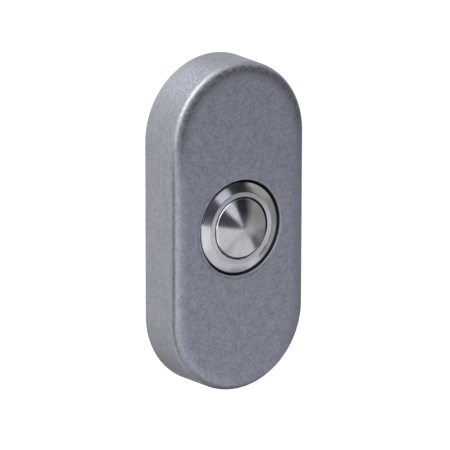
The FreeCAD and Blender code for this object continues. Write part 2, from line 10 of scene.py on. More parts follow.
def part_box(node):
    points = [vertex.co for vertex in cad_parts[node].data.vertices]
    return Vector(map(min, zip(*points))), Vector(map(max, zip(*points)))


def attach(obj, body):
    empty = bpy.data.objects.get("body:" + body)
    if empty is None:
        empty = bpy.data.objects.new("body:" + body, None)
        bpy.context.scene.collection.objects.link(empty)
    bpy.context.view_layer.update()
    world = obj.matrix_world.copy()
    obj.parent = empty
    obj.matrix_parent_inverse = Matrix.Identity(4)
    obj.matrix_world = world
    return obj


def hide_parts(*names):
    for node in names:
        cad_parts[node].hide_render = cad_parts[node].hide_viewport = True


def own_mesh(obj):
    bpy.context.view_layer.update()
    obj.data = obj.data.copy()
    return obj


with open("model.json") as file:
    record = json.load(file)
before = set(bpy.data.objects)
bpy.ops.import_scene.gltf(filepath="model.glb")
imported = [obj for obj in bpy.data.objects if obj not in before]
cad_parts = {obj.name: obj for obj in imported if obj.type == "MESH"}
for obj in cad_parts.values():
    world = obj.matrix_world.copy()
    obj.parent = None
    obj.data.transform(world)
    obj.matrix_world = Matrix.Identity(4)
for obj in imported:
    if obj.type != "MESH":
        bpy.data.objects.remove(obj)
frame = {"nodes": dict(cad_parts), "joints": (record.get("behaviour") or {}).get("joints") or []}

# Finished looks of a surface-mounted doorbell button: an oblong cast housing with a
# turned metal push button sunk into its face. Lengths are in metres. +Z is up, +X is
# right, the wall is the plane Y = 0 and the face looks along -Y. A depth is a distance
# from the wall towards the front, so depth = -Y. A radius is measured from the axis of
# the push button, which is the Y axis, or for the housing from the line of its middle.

bl_info = {
    "name": "Doorbell Button",
    "version": (1, 0, 0),
    "blender": (4, 5, 0),
    "location": "View3D > Sidebar > Doorbell",
    "description": "Builds the finished surfaces of a surface-mounted doorbell button",
    "category": "Object",
}

MM = 0.001
DEGREE = math.pi / 180
TINY = 1e-8  # lengths that differ by less than this are the same
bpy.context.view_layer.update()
SPRING_LOW, SPRING_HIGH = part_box("return_spring")


# Kinds of setting. Each gives its property once the setting's name is known.

def length(description, millimetres):
    """A size that is edited as a distance."""
    return lambda name: FloatProperty(
        name=name, description=description, default=millimetres * MM,
        unit="LENGTH", subtype="DISTANCE", precision=5,
    )


def angle(description, degrees):
    """An angle that is edited in degrees."""
    return lambda name: FloatProperty(
        name=name, description=description, default=degrees * DEGREE,
        unit="ROTATION", subtype="ANGLE",
    )


def measure(description, value, unit):
    """A number with a unit of its own."""
    return lambda name: FloatProperty(
        name=name, description=description, default=value, unit=unit,
    )


def colour(description, value):
    """A linear colour."""
    return lambda name: FloatVectorProperty(
        name=name, description=description, default=value,
        size=3, min=0.0, max=1.0, subtype="COLOR",
    )


def share(description, value):
    """A number from 0 to 1."""
    return lambda name: FloatProperty(
        name=name, description=description, default=value,
        min=0.0, max=1.0, subtype="FACTOR",
    )


def count(description, value):
    """A whole number of steps or turns."""
    return lambda name: IntProperty(name=name, description=description, default=value, min=1)


def named(group):
    """Makes the properties of a group, each named in the words that it is kept under."""
    for key, setting in group.__annotations__.items():
        group.__annotations__[key] = setting(key.replace("_", " ").title())
    return group


# Settings

@named
class CoverSettings(bpy.types.PropertyGroup):
    """Sizes and colours of the cast housing"""

    width: length("Width at the wall", 38.0)
    height: length("Height at the wall", 80.0)
    depth: length("Depth of the face", 12.0)
    draft: angle("Lean of the side walls", 1.4)
    front_round: length("Radius of the front edge", 1.9)
    back_round: length("Radius of the edge at the wall", 0.25)
    side_wall: length("Thickness of the side walls", 2.6)
    front_wall: length("Thickness of the face", 2.6)
    cavity_round: length("Radius in the corner of the cavity", 0.8)
    seat_radius: length("Radius of the boss under the nut", 12.8)
    seat_depth: length("Depth of the boss under the nut", 8.9)
    hole_radius: length("Radius of the hole for the barrel", 9.6)
    recess_radius: length("Radius of the counterbore", 11.5)
    recess_floor: length("Depth of the floor of the counterbore", 10.4)
    recess_round: length("Radius of the counterbore's front edge", 0.28)
    recess_roll: length("Fall of the face at the counterbore", 0.1)
    roll_width: length("Width over which the face falls to the counterbore", 0.62)
    edge_break: length("Radius of the small cast edges", 0.12)
    rib_height: length("Distance of the ribs from the middle", 19.0)
    rib_width: length("Thickness of a rib", 1.4)
    rib_reach: length("How far a rib stands into the cavity", 1.6)
    rib_back: length("Depth at which a rib starts", 1.2)
    ledge_width: length("Width of the ledge for the hook", 9.0)
    ledge_start: length("Depth at which the ledge starts", 1.5)
    ledge_thickness: length("Thickness of the ledge", 1.4)
    ledge_height: length("Distance of the ledge from the middle", 36.2)
    boss_radius: length("Radius of the boss round the screw", 3.2)
    screw_hole: length("Radius of the hole for the screw", 1.53)
    screw_depth: length("Depth of the axis of the screw", 4.4)
    arc_steps: count("Steps round one end of the housing", 112)
    side_steps: count("Steps along one straight side", 84)
    face_colour: colour("Tumbled metal of the face", (0.376, 0.391, 0.455))
    side_colour: colour("Brushed metal of the side", (0.327, 0.338, 0.374))
    # Painted shade: the dark colour of the counterbore stands in for the shadow in its narrow gap
    recess_shade_colour: colour("Oxide in the counterbore", (0.04, 0.04, 0.047))


@named
class ButtonSettings(bpy.types.PropertyGroup):
    """Sizes and colours of the turned ring and cap"""

    turn_steps: count("Steps round the axis", 288)
    lip_radius: length("Radius of the opening for the cap", 7.45)
    lip_back: length("Depth behind the lip", 11.19)
    land_radius: length("Outer radius of the flat land", 8.8)
    land_depth: length("Depth of the flat land", 12.19)
    land_round: length("Radius of the turn from the land to the bevel", 1.6)
    bevel_radius: length("Radius at which the bevel turns steeper", 9.9)
    bevel_depth: length("Depth at which the bevel turns steeper", 11.872)
    bevel_round: length("Radius of the turn in the bevel", 14.0)
    rim_radius: length("Outer radius of the flange", 11.1)
    rim_depth: length("Depth of the foot of the bevel", 11.43)
    rim_round: length("Radius of the outer edge of the flange", 0.5)
    flange_back: length("Depth behind the flange", 10.8)
    relief_radius: length("Radius of the relief behind the flange", 9.05)
    relief_back: length("Depth at which the relief ends", 10.0)
    barrel_radius: length("Outer radius of the thread", 9.5)
    barrel_back: length("Depth of the end of the barrel", 3.37)
    barrel_chamfer: length("Chamfer at the end of the barrel", 0.35)
    thread_pitch: length("Pitch of the fine thread", 1.0)
    thread_depth: length("Depth of the fine thread", 0.45)
    pitch_steps: count("Steps along one pitch of the thread", 12)
    cup_bore: length("Bore that holds the cup", 8.2)
    snap_radius: length("Radius of the groove for the snap ring", 8.85)
    snap_back: length("Depth behind the groove", 3.95)
    snap_front: length("Depth in front of the groove", 4.6)
    bore_step: length("Depth of the step in the bore", 8.6)
    cap_bore: length("Bore that guides the cap", 8.0)
    cap_radius: length("Radius of the cap", 7.25)
    cap_rim: length("Depth of the rim of the cap", 12.3)
    cone_rise: length("Height of the cone over the rim", 1.5)
    dome_radius: length("Radius within which the cone grows flatter", 5.2)
    dome_steps: count("Steps from the tip to the straight cone", 14)
    tip_slope: share("Slope at the tip as a share of the cone's", 0.5)
    cap_round: length("Radius of the rim of the cap", 0.5)
    shoulder_radius: length("Radius of the shoulder", 7.85)
    shoulder_front: length("Depth of the front of the shoulder", 11.14)
    shoulder_back: length("Depth of the back of the shoulder", 9.85)
    groove_radius: length("Radius of the floor of the groove", 7.28)
    groove_front: length("Depth of the front of the groove", 10.89)
    groove_back: length("Depth of the back of the groove", 10.14)
    pocket_radius: length("Radius of the pocket in the cap", 6.4)
    pocket_front: length("Depth of the floor of the pocket", 11.3)
    edge_round: length("Radius of the turned edges", 0.12)
    fine_round: length("Radius of the crisp turned edges", 0.035)
    bezel_colour: colour("Turned steel of the ring", (0.645, 0.645, 0.68))
    cap_colour: colour("Turned steel of the cap", (0.64, 0.635, 0.665))


@named
class InsideSettings(bpy.types.PropertyGroup):
    """Sizes and colours of the pieces behind the face"""

    spring_turns: count("Turns of the return spring", 5)
    wire_radius: length("Radius of the spring's wire", 0.22)
    wire_sides: count("Steps round the wire", 16)
    coil_steps: count("Steps round one turn", 56)
    zinc_colour: colour("Zinc-plated steel", (0.60, 0.62, 0.64))
    black_steel_colour: colour("Blackened screw", (0.05, 0.05, 0.055))
    spring_colour: colour("Spring steel", (0.52, 0.52, 0.53))
    brass_colour: colour("Contact brass", (0.72, 0.52, 0.22))
    nickel_colour: colour("Nickel on the terminal screws", (0.70, 0.67, 0.62))
    cup_colour: colour("Black moulded plastic", (0.018, 0.018, 0.02))
    plunger_colour: colour("White moulded plastic", (0.72, 0.72, 0.69))
    rubber_colour: colour("Black rubber of the seals", (0.012, 0.012, 0.013))


@named
class StageSettings(bpy.types.PropertyGroup):
    """Camera, floor and light"""

    view_azimuth: angle("Turn of the camera, negative to the left", -35.6)
    view_elevation: angle("Height of the camera as an angle", 15.15)
    view_roll: angle("Roll of the camera", 0.116)
    view_distance: length("Distance from the origin", 1076.9)
    view_right: length("Shift of the camera to the right", 3.302)
    view_up: length("Shift of the camera up", -1.85)
    lens: measure("Focal length", 364.1, "CAMERA")
    floor_height: length("Height of the floor", -160.0)
    floor_radius: length("Radius of the floor", 6000.0)
    floor_steps: count("Steps round the edge of the floor", 64)
    floor_colour: colour("Pale floor", (0.86, 0.86, 0.86))
    floor_glow: share("Light that lifts the floor to white where it is seen", 0.4)
    world_level: share("Light of the room on the object", 0.72)
    key_power: measure("Power of the lamp above left", 3.7, "POWER")
    fill_power: measure("Power of the lamp at the left", 1.2, "POWER")


# Meshes

def rounded(path, steps=4, closed=True):
    """Points of a profile whose corners are rounded. A corner of the path has a radius and
    a depth, and may have the radius of its round and the steps of the round.
    """
    corners = [Vector(corner[:2]) for corner in path]
    points = []
    for index, corner in enumerate(corners):
        size = path[index][2] if len(path[index]) > 2 else 0.0
        at_end = not closed and index in (0, len(path) - 1)
        if not size or at_end:
            points.append(corner)
            continue
        back = (corners[index - 1] - corner).normalized()
        ahead = (corners[(index + 1) % len(corners)] - corner).normalized()
        half = back.angle(ahead) / 2
        centre = corner + (back + ahead).normalized() * (size / math.sin(half))
        start = corner + back * (size / math.tan(half)) - centre
        end = corner + ahead * (size / math.tan(half)) - centre
        turn = start.angle_signed(end)
        fine = path[index][3] if len(path[index]) > 3 else steps
        for step in range(fine + 1):
            points.append(centre + Matrix.Rotation(-turn * step / fine, 2) @ start)
    return points


def circle_ring(radius, depth, angles):
    """Points of a circle round the button's axis."""
    return [(radius * math.cos(a), -depth, radius * math.sin(a)) for a in angles]


def even_angles(steps):
    """Angles of an evenly divided circle."""
    return [2 * math.pi * step / steps for step in range(steps)]


def oblong_directions(half_length, arc_steps, side_steps):
    """For each point of an oblong ring: the direction it lies in, and its end's height."""
    places = []
    for turn, middle in ((0.0, half_length), (math.pi, -half_length)):
        for step in range(arc_steps):
            places.append((turn + math.pi * step / arc_steps, middle))
        for step in range(side_steps):
            slide = middle * (1 - 2 * step / side_steps)
            places.append((turn + math.pi, slide))
    return places


def oblong_ring(radius, depth, places):
    """Points of a ring with two round ends."""
    return [(radius * math.cos(a), -depth, middle + radius * math.sin(a)) for a, middle in places]


def skinned(rings, closed):
    """A mesh through rings of points. A ring of one point closes to a tip."""
    mesh = bmesh.new()
    made = [[mesh.verts.new(point) for point in ring] for ring in rings]
    pairs = list(zip(made, made[1:]))
    if closed:
        pairs.append((made[-1], made[0]))
    for first, second in pairs:
        steps = max(len(first), len(second))
        for step in range(steps):
            after = (step + 1) % steps
            corners = [first[step % len(first)], second[step % len(second)]]
            if len(second) > 1:
                corners.append(second[after])
            if len(first) > 1:
                corners.append(first[after])
            mesh.faces.new(corners)
    bmesh.ops.recalc_face_normals(mesh, faces=mesh.faces)
    return mesh


def placed(name, mesh):
    """An object in the scene from a mesh under construction."""
    data = bpy.data.meshes.new(name)
    mesh.to_mesh(data)
    mesh.free()
    piece = bpy.data.objects.new(name, data)
    bpy.context.scene.collection.objects.link(piece)
    return piece


def smoothed(piece, crease=28 * DEGREE):
    """Shades a piece smooth between its creases, with the large faces kept flat."""
    piece.data.shade_smooth()
    piece.data.set_sharp_from_angle(angle=crease)
    weighted = piece.modifiers.new("Weighted Normals", "WEIGHTED_NORMAL")
    weighted.keep_sharp = True
    applied(piece)
    return piece


def applied(piece):
    """Applies every modifier of a piece."""
    bpy.context.view_layer.update()
    evaluated = piece.evaluated_get(bpy.context.evaluated_depsgraph_get())
    result = bpy.data.meshes.new_from_object(evaluated)
    result.name = piece.name
    piece.modifiers.clear()
    piece.data = result


def combined(piece, tools, operation):
    """Joins tools to a piece or cuts them from it, and removes the tools."""
    for tool in tools:
        step = piece.modifiers.new(operation, "BOOLEAN")
        step.operation = operation
        step.solver = "EXACT"
        step.object = tool
    applied(piece)
    for tool in tools:
        bpy.data.objects.remove(tool)
    return piece


def bar(name, low, high, edge):
    """A bar between two corners with its edges rounded."""
    mesh = bmesh.new()
    bmesh.ops.create_cube(mesh, size=1.0)
    size = Vector(high) - Vector(low)
    bmesh.ops.scale(mesh, vec=size, verts=mesh.verts)
    bmesh.ops.translate(mesh, vec=(Vector(low) + Vector(high)) / 2, verts=mesh.verts)
    bmesh.ops.bevel(
        mesh, geom=mesh.edges, offset=edge, offset_type="OFFSET", segments=3,
        profile=0.5, affect="EDGES",
    )
    return placed(name, mesh)


def upright(name, radius, depth, low, high, edge, steps=64):
    """A round post along Z with rounded ends."""
    path = [(0.0, low), (radius, low, edge), (radius, high, edge), (0.0, high)]
    rings = []
    for point in rounded(path, closed=False):
        if point.x < TINY:
            rings.append([(0.0, -depth, point.y)])
        else:
            rings.append([
                (point.x * math.cos(a), -depth + point.x * math.sin(a), point.y)
                for a in even_angles(steps)
            ])
    return placed(name, skinned(rings, closed=False))


# Materials

class Field:
    """A number that changes over a surface, reckoned with as plain numbers are."""

    def __init__(self, finish, socket):
        self.finish = finish
        self.socket = socket

    def __neg__(self):
        return self * -1.0

    def __abs__(self):
        return self.finish.math("ABSOLUTE", self)

    def __add__(self, other):
        return self.finish.math("ADD", self, other)

    def __sub__(self, other):
        return self.finish.math("SUBTRACT", self, other)

    def __mul__(self, other):
        return self.finish.math("MULTIPLY", self, other)

    def larger(self, other):
        """The larger of two numbers."""
        return self.finish.math("MAXIMUM", self, other)

    def fitted(self, span, to_low=0.0, to_high=1.0, kind="SMOOTHSTEP"):
        """The number carried from a span to another range, with soft ends, and held there."""
        names = ("Value", "From Min", "From Max", "To Min", "To Max")
        inputs = dict(zip(names, (self, *span, to_low, to_high)))
        made = self.finish.node("MapRange", inputs, interpolation_type=kind)
        return Field(self.finish, made.outputs[0])

    def ramped(self, span, to_low, to_high):
        """The number carried evenly from a span to another range, and held there."""
        return self.fitted(span, to_low, to_high, "LINEAR")

    def fading(self, span):
        """1 before a span and 0 past it."""
        return self.fitted(span, 1.0, 0.0)


class Finish:
    """A material under construction, whose nodes are added and joined one by one."""

    def __init__(self, name, tint, metallic, roughness, specular=0.5):
        self.material = bpy.data.materials.new(name)
        self.material.use_nodes = True
        self.material.diffuse_color = (*tint, 1.0)
        self.tree = self.material.node_tree
        self.shader = self.tree.nodes["Principled BSDF"]
        self.set("Base Color", (*tint, 1.0))
        self.set("Metallic", metallic)
        self.set("Roughness", roughness)
        self.set("Specular IOR Level", specular)
        self.coordinates = self.node("TexCoord")
        self.place = self.scaled(self.coordinates.outputs["Object"], (1 / MM,) * 3)

    def set(self, socket, value):
        """Gives a socket of the shader a value or joins another socket to it."""
        self.feed(self.shader.inputs[socket], value)

    def feed(self, socket, value):
        """Gives any socket a value or joins another socket to it."""
        if isinstance(value, Field):
            value = value.socket
        if isinstance(value, bpy.types.NodeSocket):
            self.tree.links.new(value, socket)
        else:
            socket.default_value = value

    def node(self, kind, inputs=(), **settings):
        """Adds one node with its settings and inputs."""
        made = self.tree.nodes.new("ShaderNode" + kind)
        for name, value in settings.items():
            setattr(made, name, value)
        for socket, value in dict(inputs).items():
            self.feed(made.inputs[socket], value)
        return made

    def math(self, operation, *values):
        """The result of one sum."""
        made = self.node("Math", dict(enumerate(values)), operation=operation)
        return Field(self, made.outputs[0])

    def distance(self, across, along):
        """The length of the diagonal over two lengths."""
        return self.math("SQRT", across * across + along * along)

    def scaled(self, vector, factors):
        """A vector with each of its parts multiplied."""
        return self.node("VectorMath", {0: vector, 1: factors}, operation="MULTIPLY").outputs[0]

    def joined(self, *parts):
        """A vector from its three parts."""
        return self.node("CombineXYZ", dict(enumerate(parts))).outputs[0]

    def parts(self, vector=None):
        """The three parts of a vector."""
        made = self.node("SeparateXYZ", {0: vector or self.place})
        return [Field(self, socket) for socket in made.outputs[:3]]

    def noise(self, scale, detail, rough, vector=None, distortion=0.0):
        """Noise from 0 to 1. The scale is in waves per millimetre."""
        inputs = {
            "Vector": vector or self.place, "Scale": scale, "Detail": detail,
            "Roughness": rough, "Distortion": distortion,
        }
        return Field(self, self.node("TexNoise", inputs).outputs["Fac"])

    def cells(self, scale):
        """Distance to the nearest of many scattered points."""
        made = self.node("TexVoronoi", {"Vector": self.place, "Scale": scale})
        return Field(self, made.outputs["Distance"])

    def blend(self, factor, first, second):
        """A colour between two colours."""
        mixer = self.node("Mix", {"Factor": factor}, data_type="RGBA")
        for socket, value in ((mixer.inputs[6], first), (mixer.inputs[7], second)):
            if not isinstance(value, bpy.types.NodeSocket):
                value = (*value[:3], 1.0)
            self.feed(socket, value)
        return mixer.outputs[2]

    def toned(self, tint, tone):
        """A colour made lighter or darker by a number round 1."""
        made = self.node("VectorMath", {0: tint, "Scale": tone}, operation="SCALE")
        return made.outputs[0]

    def relief(self, height, depth, strength, under=None):
        """A bump from a height of 0 to 1 over a depth in metres."""
        inputs = {"Height": height, "Distance": depth, "Strength": strength}
        if under:
            inputs["Normal"] = under
        return self.node("Bump", inputs).outputs[0]

    def dress(self, *pieces):
        """Gives the material to pieces, in place of what they have."""
        for piece in pieces:
            if piece.data.materials:
                for index in range(len(piece.data.materials)):
                    piece.data.materials[index] = self.material
            else:
                piece.data.materials.append(self.material)


# Parts of a noise's range that are carried to a tone or a gloss
INNER, MIDDLE, OUTER = (0.3, 0.7), (0.25, 0.75), (0.2, 0.8)
WHOLE = (0.0, 1.0)

# Noises: waves per millimetre, octaves and roughness
BLOTCHES, MOTTLE = (0.42, 3.0, 0.5), (1.15, 2.0, 0.6)
GRAIN, SPECKLE = (2.6, 4.0, 0.75), (6.5, 2.0, 0.6)
PITS, FLECKS = (1.25, 3.0, 0.6), (2.2, 3.0, 0.7)
STREAKS, FINE_STREAKS = (1.0, 4.0, 0.6), (1.0, 3.0, 0.6)
RINGS, COARSE_RINGS, HAZE = (9.0, 3.0, 0.7), (2.2, 3.0, 0.6), (0.5, 3.0, 0.55)
STREAK_WAVES, FINE_STREAK_WAVES = (0.16, 0.16, 1.5), (0.5, 0.5, 5.5)

# Marks on the cast metal. Most are painted light and shade: the face darker towards the top,
# the dark edge, crease and counterbore, the shade beside the counterbore, and the bright lower
# left edge and lip; the pits and flecks are wear. Each span says where a mark begins and where
# it is full, in millimetres. A lean is how far a surface faces the front, from 0 to 1, and a
# band is measured outwards from the side's foot at the wall.
FACE_LEAN = (0.55, 0.97)
FACE_RISE, FACE_SHADE_TONES = (-12.0, 36.0), (1.04, 0.93)
EDGE_BAND, EDGE_RISE, EDGE_RIGHT = (-5.0, -2.0), (8.0, 30.0), (8.0, 16.0)
EDGE_BROKEN, EDGE_PAINTED_SHADE = (0.38, 0.62), 0.58
LOWER_PART = (9.0, 27.0)
CREASE_LEAN, CREASE_END, CREASE_PAINTED_SHADE = (0.16, 0.45), (0.52, 0.80), -0.46
LIT_EDGE_LEAN, LIT_EDGE_FLAT, LIT_EDGE_TONE = (0.6, 0.85), (0.8, 0.97), 0.20
LIT_EDGE_BAND, LIT_EDGE_LEFT = (-4.2, -2.2), (0.0, -6.0)
BESIDE_START, BESIDE_END, BESIDE_PAINTED_SHADE = (11.7, 12.0), (12.2, 12.7), -0.20
BESIDE_CORNER = (2.0, -10.0)
LIP_END, LIP_LEFT, LIP_PAINTED_LIGHT = (11.8, 12.1), (-7.5, -10.5), 0.5
PIT_BAND, PIT_LEAN, PIT_RISE = (-3.0, -2.3), (0.72, 0.82), (12.0, 28.0)
PIT_NOISE, PIT_TONE = (0.42, 0.60), -0.22
RUBBED_TURN, RUBBED_WIDTH, RUBBED_DEPTH = 2.15, (0.45, 0.15), (2.5, 6.0)
RUBBED_RISE, RUBBED_LEAN = (24.0, 30.0), (0.3, 0.1)
FLECK_NOISE, FLECK_TONE = (0.46, 0.62), 0.34
RECESS_EDGE, RECESS_FRONT, RECESS_BACK = (-0.02, 0.1), (-0.42, -0.1), (-0.3, -0.1)
RECESS_LEFT, RECESS_LIT = (-7.0, -10.0), (4.0, 15.0)
DENT_WAVES, DENT_DEPTH, SPECKLE_DEPTH = 1.5, 0.05, 0.012


def cast_metal(cover):
    """Tumbled face and brushed side of the housing, with painted light and shade at its edges and
    painted shade in the counterbore.
    """
    finish = Finish("Tumbled Cast Metal", cover.face_colour, metallic=1.0, roughness=0.55)
    x, y, z = finish.parts()
    radius = cover.width / 2 / MM
    half_length = cover.height / 2 / MM - radius
    depth = -y
    middle = finish.math("MINIMUM", z.larger(-half_length), half_length)
    past_end = z - middle
    from_side = finish.distance(x, past_end) - radius
    from_axis = finish.distance(x, z)
    end_turn = finish.math("ARCTAN2", abs(past_end), x)
    along = finish.joined(end_turn * radius, middle, depth)
    lean = -finish.parts(finish.coordinates.outputs["Normal"])[1]
    face = lean.fitted(FACE_LEAN)

    mottle, grain, speckle = (finish.noise(*waves) for waves in (MOTTLE, GRAIN, SPECKLE))
    streaks = finish.noise(*STREAKS, finish.scaled(along, STREAK_WAVES))
    fine_streaks = finish.noise(*FINE_STREAKS, finish.scaled(along, FINE_STREAK_WAVES))
    patches = mottle.ramped((0.28, 0.72), -0.15, 0.15) + grain.ramped(MIDDLE, -0.30, 0.30)
    face_tone = finish.noise(*BLOTCHES).ramped(INNER, 0.92, 1.08) + patches
    side_tone = streaks.ramped(INNER, 0.94, 1.06) + fine_streaks.ramped(MIDDLE, -0.07, 0.07)
    side_tone = side_tone + patches * 0.74

    # Painted shade: the face darker towards the top, and a dark, ragged line along the top edge,
    # which runs on down the right one
    shaded = z.fitted(EDGE_RISE).larger(x.fitted(EDGE_RIGHT, 0.0, 0.55))
    broken = mottle * 0.55 + grain * 0.45
    painted_edge_shade = from_side.fitted(EDGE_BAND) * shaded * broken.fitted(EDGE_BROKEN, 0.45, 1.1)
    face_tone = face_tone * z.fitted(FACE_RISE).ramped(WHOLE, *FACE_SHADE_TONES)
    face_tone = face_tone * painted_edge_shade.ramped(WHOLE, 1.0, EDGE_PAINTED_SHADE)

    # Painted light and shade, with wear: painted shade in the crease of the lower left edge and a
    # painted highlight along that edge, painted shade beside the counterbore and a painted
    # highlight on its lip at the left; the pits along the top edge and the rubbed patch at the
    # upper left are wear
    lower = z.fading(LOWER_PART)
    # Painted shade: a dark line along the crease of the lower left edge
    crease = lean.fitted(CREASE_LEAN) * lean.fading(CREASE_END) * lower
    # Painted highlight: a bright band on the lower left edge
    lit_edge = lean.fitted(LIT_EDGE_LEAN) * from_side.fitted(LIT_EDGE_BAND) * lower
    lit_edge = lit_edge * lean.fitted(LIT_EDGE_FLAT) * x.fitted(LIT_EDGE_LEFT)
    # Painted shade beside the counterbore at the lower left
    shade_beside = from_axis.fitted(BESIDE_START) * from_axis.fading(BESIDE_END)
    shade_beside = shade_beside * (x + z).fitted(BESIDE_CORNER)
    # Painted highlight on the left lip of the counterbore
    lip = from_axis.fading(LIP_END) * x.fitted(LIP_LEFT)
    pits = from_side.fitted(PIT_BAND) * lean.fitted(PIT_LEAN) * z.fitted(PIT_RISE)
    pits = pits * finish.noise(*PITS).fitted(PIT_NOISE)
    rubbed = abs(end_turn - RUBBED_TURN).fitted(RUBBED_WIDTH) * depth.fitted(RUBBED_DEPTH)
    rubbed = rubbed * z.fitted(RUBBED_RISE) * lean.fitted(RUBBED_LEAN)
    flecks = rubbed * finish.noise(*FLECKS).fitted(FLECK_NOISE, -0.3, 1.0)
    wear_and_painted_light = crease * CREASE_PAINTED_SHADE + lit_edge * LIT_EDGE_TONE + shade_beside * BESIDE_PAINTED_SHADE
    wear_and_painted_light = wear_and_painted_light + lip * LIP_PAINTED_LIGHT + pits * PIT_TONE + flecks * FLECK_TONE
    tint = finish.blend(
        face,
        finish.toned(cover.side_colour, side_tone + wear_and_painted_light),
        finish.toned(cover.face_colour, face_tone + wear_and_painted_light),
    )

    # Painted shade: the counterbore's wall and floor are darkened as the shadow in the gap, less
    # on the left and lighter towards the lower right
    painted_recess_shade = (from_axis - cover.recess_radius / MM).fading(RECESS_EDGE)
    painted_recess_shade = painted_recess_shade * (depth - cover.depth / MM).fading(RECESS_FRONT)
    painted_recess_shade = painted_recess_shade * (depth - cover.recess_floor / MM).fitted(RECESS_BACK)
    painted_recess_shade = painted_recess_shade * x.fitted(RECESS_LEFT, 1.0, 0.1)
    recess_shade_tint = finish.toned(cover.recess_shade_colour, (x - z).fitted(RECESS_LIT, 1.0, 1.9))
    finish.set("Base Color", finish.blend(painted_recess_shade, tint, recess_shade_tint))

    rough = face.fitted(WHOLE, 0.46, 0.55) + speckle.ramped(OUTER, -0.07, 0.07)
    finish.set("Roughness", rough + painted_recess_shade * 0.3)
    dents = finish.cells(DENT_WAVES).fitted((0.0, 0.55)) * 0.6 + grain * 0.8
    scratches = (fine_streaks + grain * 0.5) * (face * -1.0 + 1.0)
    normal = finish.relief(dents * face + scratches * 0.7, DENT_DEPTH * MM, 0.6)
    finish.set("Normal", finish.relief(speckle, SPECKLE_DEPTH * MM, 0.5, under=normal))
    return finish


# Painted shade on the turned steel, in millimetres: in the gap round the cap, on the ring's lip
# and the cap's rim at the upper right, and on the upper part of the flange's rim. A gap is where
# the cap meets the ring's lip.
GAP_WALL, GAP_DEPTH = 0.06, (0.05, 0.2)
LIP_BAND, LAND_BAND = (-0.42, -0.22), (0.1, 0.2)
GAP_SHADE_UPPER, GAP_SHADE_RISE, GAP_SHADE_LEFT = (2.6, 6.4), (1.0, 3.0), (-4.2, -5.6)
RIM_EDGE, RIM_RISE, RIM_BACK, RIM_PAINTED_SHADE = (10.7, 10.86), (1.9, 2.7), (-10.9, -11.0), 0.22
TIP, TIP_HAZE, RING_DEPTH = (0.2, 4.2), 0.12, 0.0025


def turned_steel(name, button, tint, roughness, spread, gap_shade_amount):
    """Fine-turned steel, with rings round the axis and painted shade in the gap and on the upper
    rim.
    """
    finish = Finish(name, tint, metallic=1.0, roughness=roughness)
    x, y, z = finish.parts()
    from_axis = finish.distance(x, z)
    cut = finish.joined(from_axis, y, 0.0)
    rings, coarse_rings = finish.noise(*RINGS, cut), finish.noise(*COARSE_RINGS, cut)
    haze = finish.noise(*HAZE)
    tone = coarse_rings.ramped(INNER, 0.96, 1.03) + haze.ramped(INNER, -0.05, 0.04)

    from_cap, from_lip = from_axis - button.cap_radius / MM, from_axis - button.lip_radius / MM
    # Painted shade: darkening in the gap round the cap, stronger at the upper right
    painted_gap_shade = from_cap.fitted((-GAP_WALL, 0.0)) * from_lip.fading((0.0, GAP_WALL))
    painted_gap_shade = painted_gap_shade * (y + button.land_depth / MM).fitted(GAP_DEPTH)
    upper = (x + z).fitted(GAP_SHADE_UPPER)
    corner = z.fitted(GAP_SHADE_RISE) * x.fitted(GAP_SHADE_LEFT, 0.0, 0.45)
    rim = from_cap.fitted(LIP_BAND) * from_lip.fading(LAND_BAND)
    painted_gap_shade = painted_gap_shade.larger(rim * upper.larger(corner))
    # Painted shade on the upper part of the flange's outer rim
    dust_and_painted_shade = from_axis.fitted(RIM_EDGE) * z.fitted(RIM_RISE) * y.fitted(RIM_BACK)
    tone = tone * painted_gap_shade.ramped(WHOLE, 1.0, 1.0 - gap_shade_amount) * dust_and_painted_shade.ramped(WHOLE, 1.0, RIM_PAINTED_SHADE)
    finish.set("Base Color", finish.toned(tint, tone))

    rough = rings.ramped(OUTER, roughness - 0.04, roughness + 0.05)
    rough = rough + haze.ramped(INNER, -0.015, 0.02) + from_axis.fitted(TIP, TIP_HAZE, 0.0)
    finish.set("Roughness", rough)
    finish.set("Anisotropic", spread)
    finish.set("Anisotropic Rotation", 0.25)
    finish.set("Tangent", finish.node("Tangent", direction_type="RADIAL", axis="Y").outputs[0])
    finish.set("Normal", finish.relief(rings, RING_DEPTH * MM, 0.5))
    return finish


def multiplied(tint, factors):
    """A colour with each of its parts multiplied."""
    return tuple(part * factor for part, factor in zip(tint, factors))


def plated_steel(name, tint, roughness=0.34):
    """Rolled steel sheet or bar under thin plating, with faint rolling marks and stains."""
    finish = Finish(name, tint, metallic=1.0, roughness=roughness)
    rolled = finish.noise(1.0, 3.0, 0.6, finish.scaled(finish.place, (0.6, 0.6, 7.0)))
    stains = finish.noise(0.22, 4.0, 0.6, distortion=0.6)
    grain = finish.noise(4.0, 3.0, 0.6)
    tone = stains.ramped(INNER, 0.88, 1.06) + rolled.ramped(INNER, -0.04, 0.04)
    warm = finish.blend(stains.fitted((0.45, 0.7)), tint, multiplied(tint, (1.0, 0.97, 0.9)))
    rough = stains.ramped(INNER, roughness + 0.06, roughness - 0.04)
    finish.set("Base Color", finish.toned(warm, tone))
    finish.set("Roughness", rough + grain.ramped(OUTER, -0.05, 0.05))
    finish.set("Normal", finish.relief(rolled + grain, 0.008 * MM, 0.5))
    return finish


